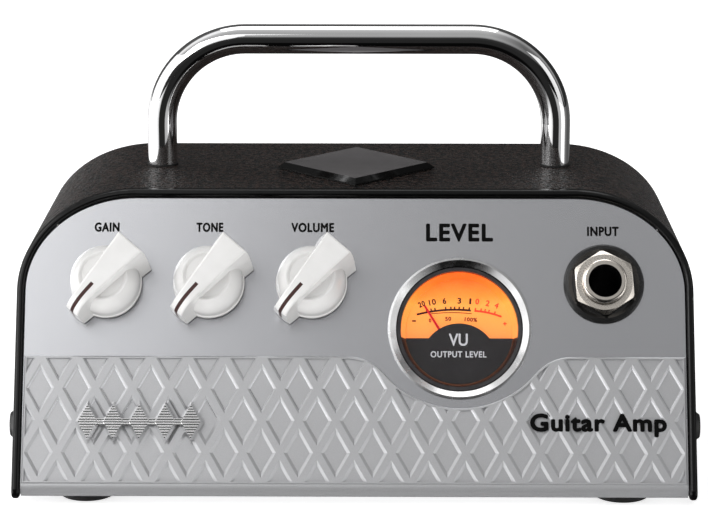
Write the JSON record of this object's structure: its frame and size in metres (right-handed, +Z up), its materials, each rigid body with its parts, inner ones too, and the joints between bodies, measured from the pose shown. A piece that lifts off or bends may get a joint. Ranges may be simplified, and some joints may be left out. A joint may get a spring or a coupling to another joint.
{
  "type": "guitar amp head",
  "caption": "Mini guitar amp head: sloped silver front with pointer knobs, lit level meter and jack, black hood with a chrome rod handle, jacks and switches at the back.",
  "frame": {"origin": "on the table, under the middle of the bounding box", "axes": "+X the user's right, +Y the back, where the speaker jack points, +Z up"},
  "size_m": [0.135, 0.0755, 0.0865],
  "materials": {
    "hood": "wrinkle black powder coat",
    "chassis": "satin silver",
    "black_screw": "black oxide",
    "inner_steel": "zinc plated",
    "handle": "polished",
    "washer": "black rubber",
    "window": "smoked, polished",
    "foot": "black rubber",
    "pot": "pressed steel",
    "shaft": "turned",
    "knob": "white gloss",
    "pointer_line": "dark brown gloss",
    "badge": "bright plating",
    "bezel": "bright",
    "meter_case": "grey",
    "lens": "clear",
    "light_ring": "lit amber",
    "dial": "lit amber dial",
    "mask": "black print",
    "needle": "red",
    "magnet": "bare",
    "lamp": "lamp board",
    "jack": "nickel bushing on a black body",
    "jack_nut": "nickel",
    "jack_washer": "black",
    "lug": "tinned",
    "inlet": "black",
    "switch_frame": "black",
    "rocker": "black",
    "slide_switch": "plated",
    "slider": "black",
    "board": "green laminate",
    "standoff": "bare",
    "flat_cable": "grey",
    "tube": "clear",
    "capacitor": "dark sleeve"
  },
  "bodies": {
    "base": {"hood": "hood", "chassis": "chassis", "side_screws": "black_screw", "side_nuts": "inner_steel", "handle_screws": "inner_steel", "foot_screws": "inner_steel", "foot_nuts": "inner_steel", "switch_screws": "inner_steel", "pot_nuts": "inner_steel", "pot_washers": "inner_steel", "board_screws": "inner_steel", "handle": "handle", "handle_washers": "washer", "window_gasket": "washer", "tube_window": "window", "feet": "foot", "gain_pot": "pot", "tone_pot": "pot", "volume_pot": "pot", "badge": "badge", "meter_bezel": "bezel", "meter_case": "meter_case", "meter_ring_nut": "meter_case", "meter_lens": "lens", "meter_light_ring": "light_ring", "meter_dial": "dial", "meter_mask": "mask", "meter_magnet": "magnet", "meter_lamp": "lamp", "input_jack": "jack", "speaker_jack": "jack", "line_jack": "jack", "input_jack_nut": "jack_nut", "rear_nuts": "jack_nut", "input_jack_washer": "jack_washer", "jack_lugs": "lug", "dc_inlet": "inlet", "power_switch": "switch_frame", "slide_switches": "slide_switch", "main_board": "board", "control_board": "board", "tube_carrier": "board", "board_standoffs": "standoff", "flat_cable": "flat_cable", "tube_module": "tube", "capacitors": "capacitor"},
    "gain_control": {"gain_knob": "knob", "gain_pointer_line": "pointer_line", "gain_shaft": "shaft"},
    "tone_control": {"tone_knob": "knob", "tone_pointer_line": "pointer_line", "tone_shaft": "shaft"},
    "volume_control": {"volume_knob": "knob", "volume_pointer_line": "pointer_line", "volume_shaft": "shaft"},
    "needle": {"meter_needle": "needle"},
    "rocker": {"power_rocker": "rocker"},
    "eq_button": {"eq_slider": "slider"},
    "eco_button": {"eco_slider": "slider"}
  },
  "joints": [
    {"name": "gain_knob_turn", "type": "hinge", "parent": "base", "child": "gain_control", "pos_m": [-0.0484, -0.02001, 0.04043], "axis": [0, 0.9063, -0.4226], "range_deg": [0, 278]},
    {"name": "tone_knob_turn", "type": "hinge", "parent": "base", "child": "tone_control", "pos_m": [-0.0284, -0.02001, 0.04043], "axis": [0, 0.9063, -0.4226], "range_deg": [0, 278]},
    {"name": "volume_knob_turn", "type": "hinge", "parent": "base", "child": "volume_control", "pos_m": [-0.0084, -0.02001, 0.04043], "axis": [0, 0.9063, -0.4226], "range_deg": [0, 278]},
    {"name": "needle_swing", "type": "hinge", "parent": "base", "child": "needle", "pos_m": [0.0204, -0.0262, 0.02715], "axis": [0, 0.9063, -0.4226], "range_deg": [0, 62], "stiffness_Nm_per_rad": 0.0002, "springref_deg": -11.46},
    {"name": "power_rocker_turn", "type": "hinge", "parent": "base", "child": "rocker", "pos_m": [0.03, 0.03345, 0.027], "axis": [-1, 0, 0], "range_deg": [0, 20]},
    {"name": "eq_slide", "type": "slide", "parent": "base", "child": "eq_button", "axis": [0, 0, 1], "range_m": [0, 0.0026]},
    {"name": "eco_slide", "type": "slide", "parent": "base", "child": "eco_button", "axis": [0, 0, 1], "range_m": [0, 0.0026]}
  ]
}
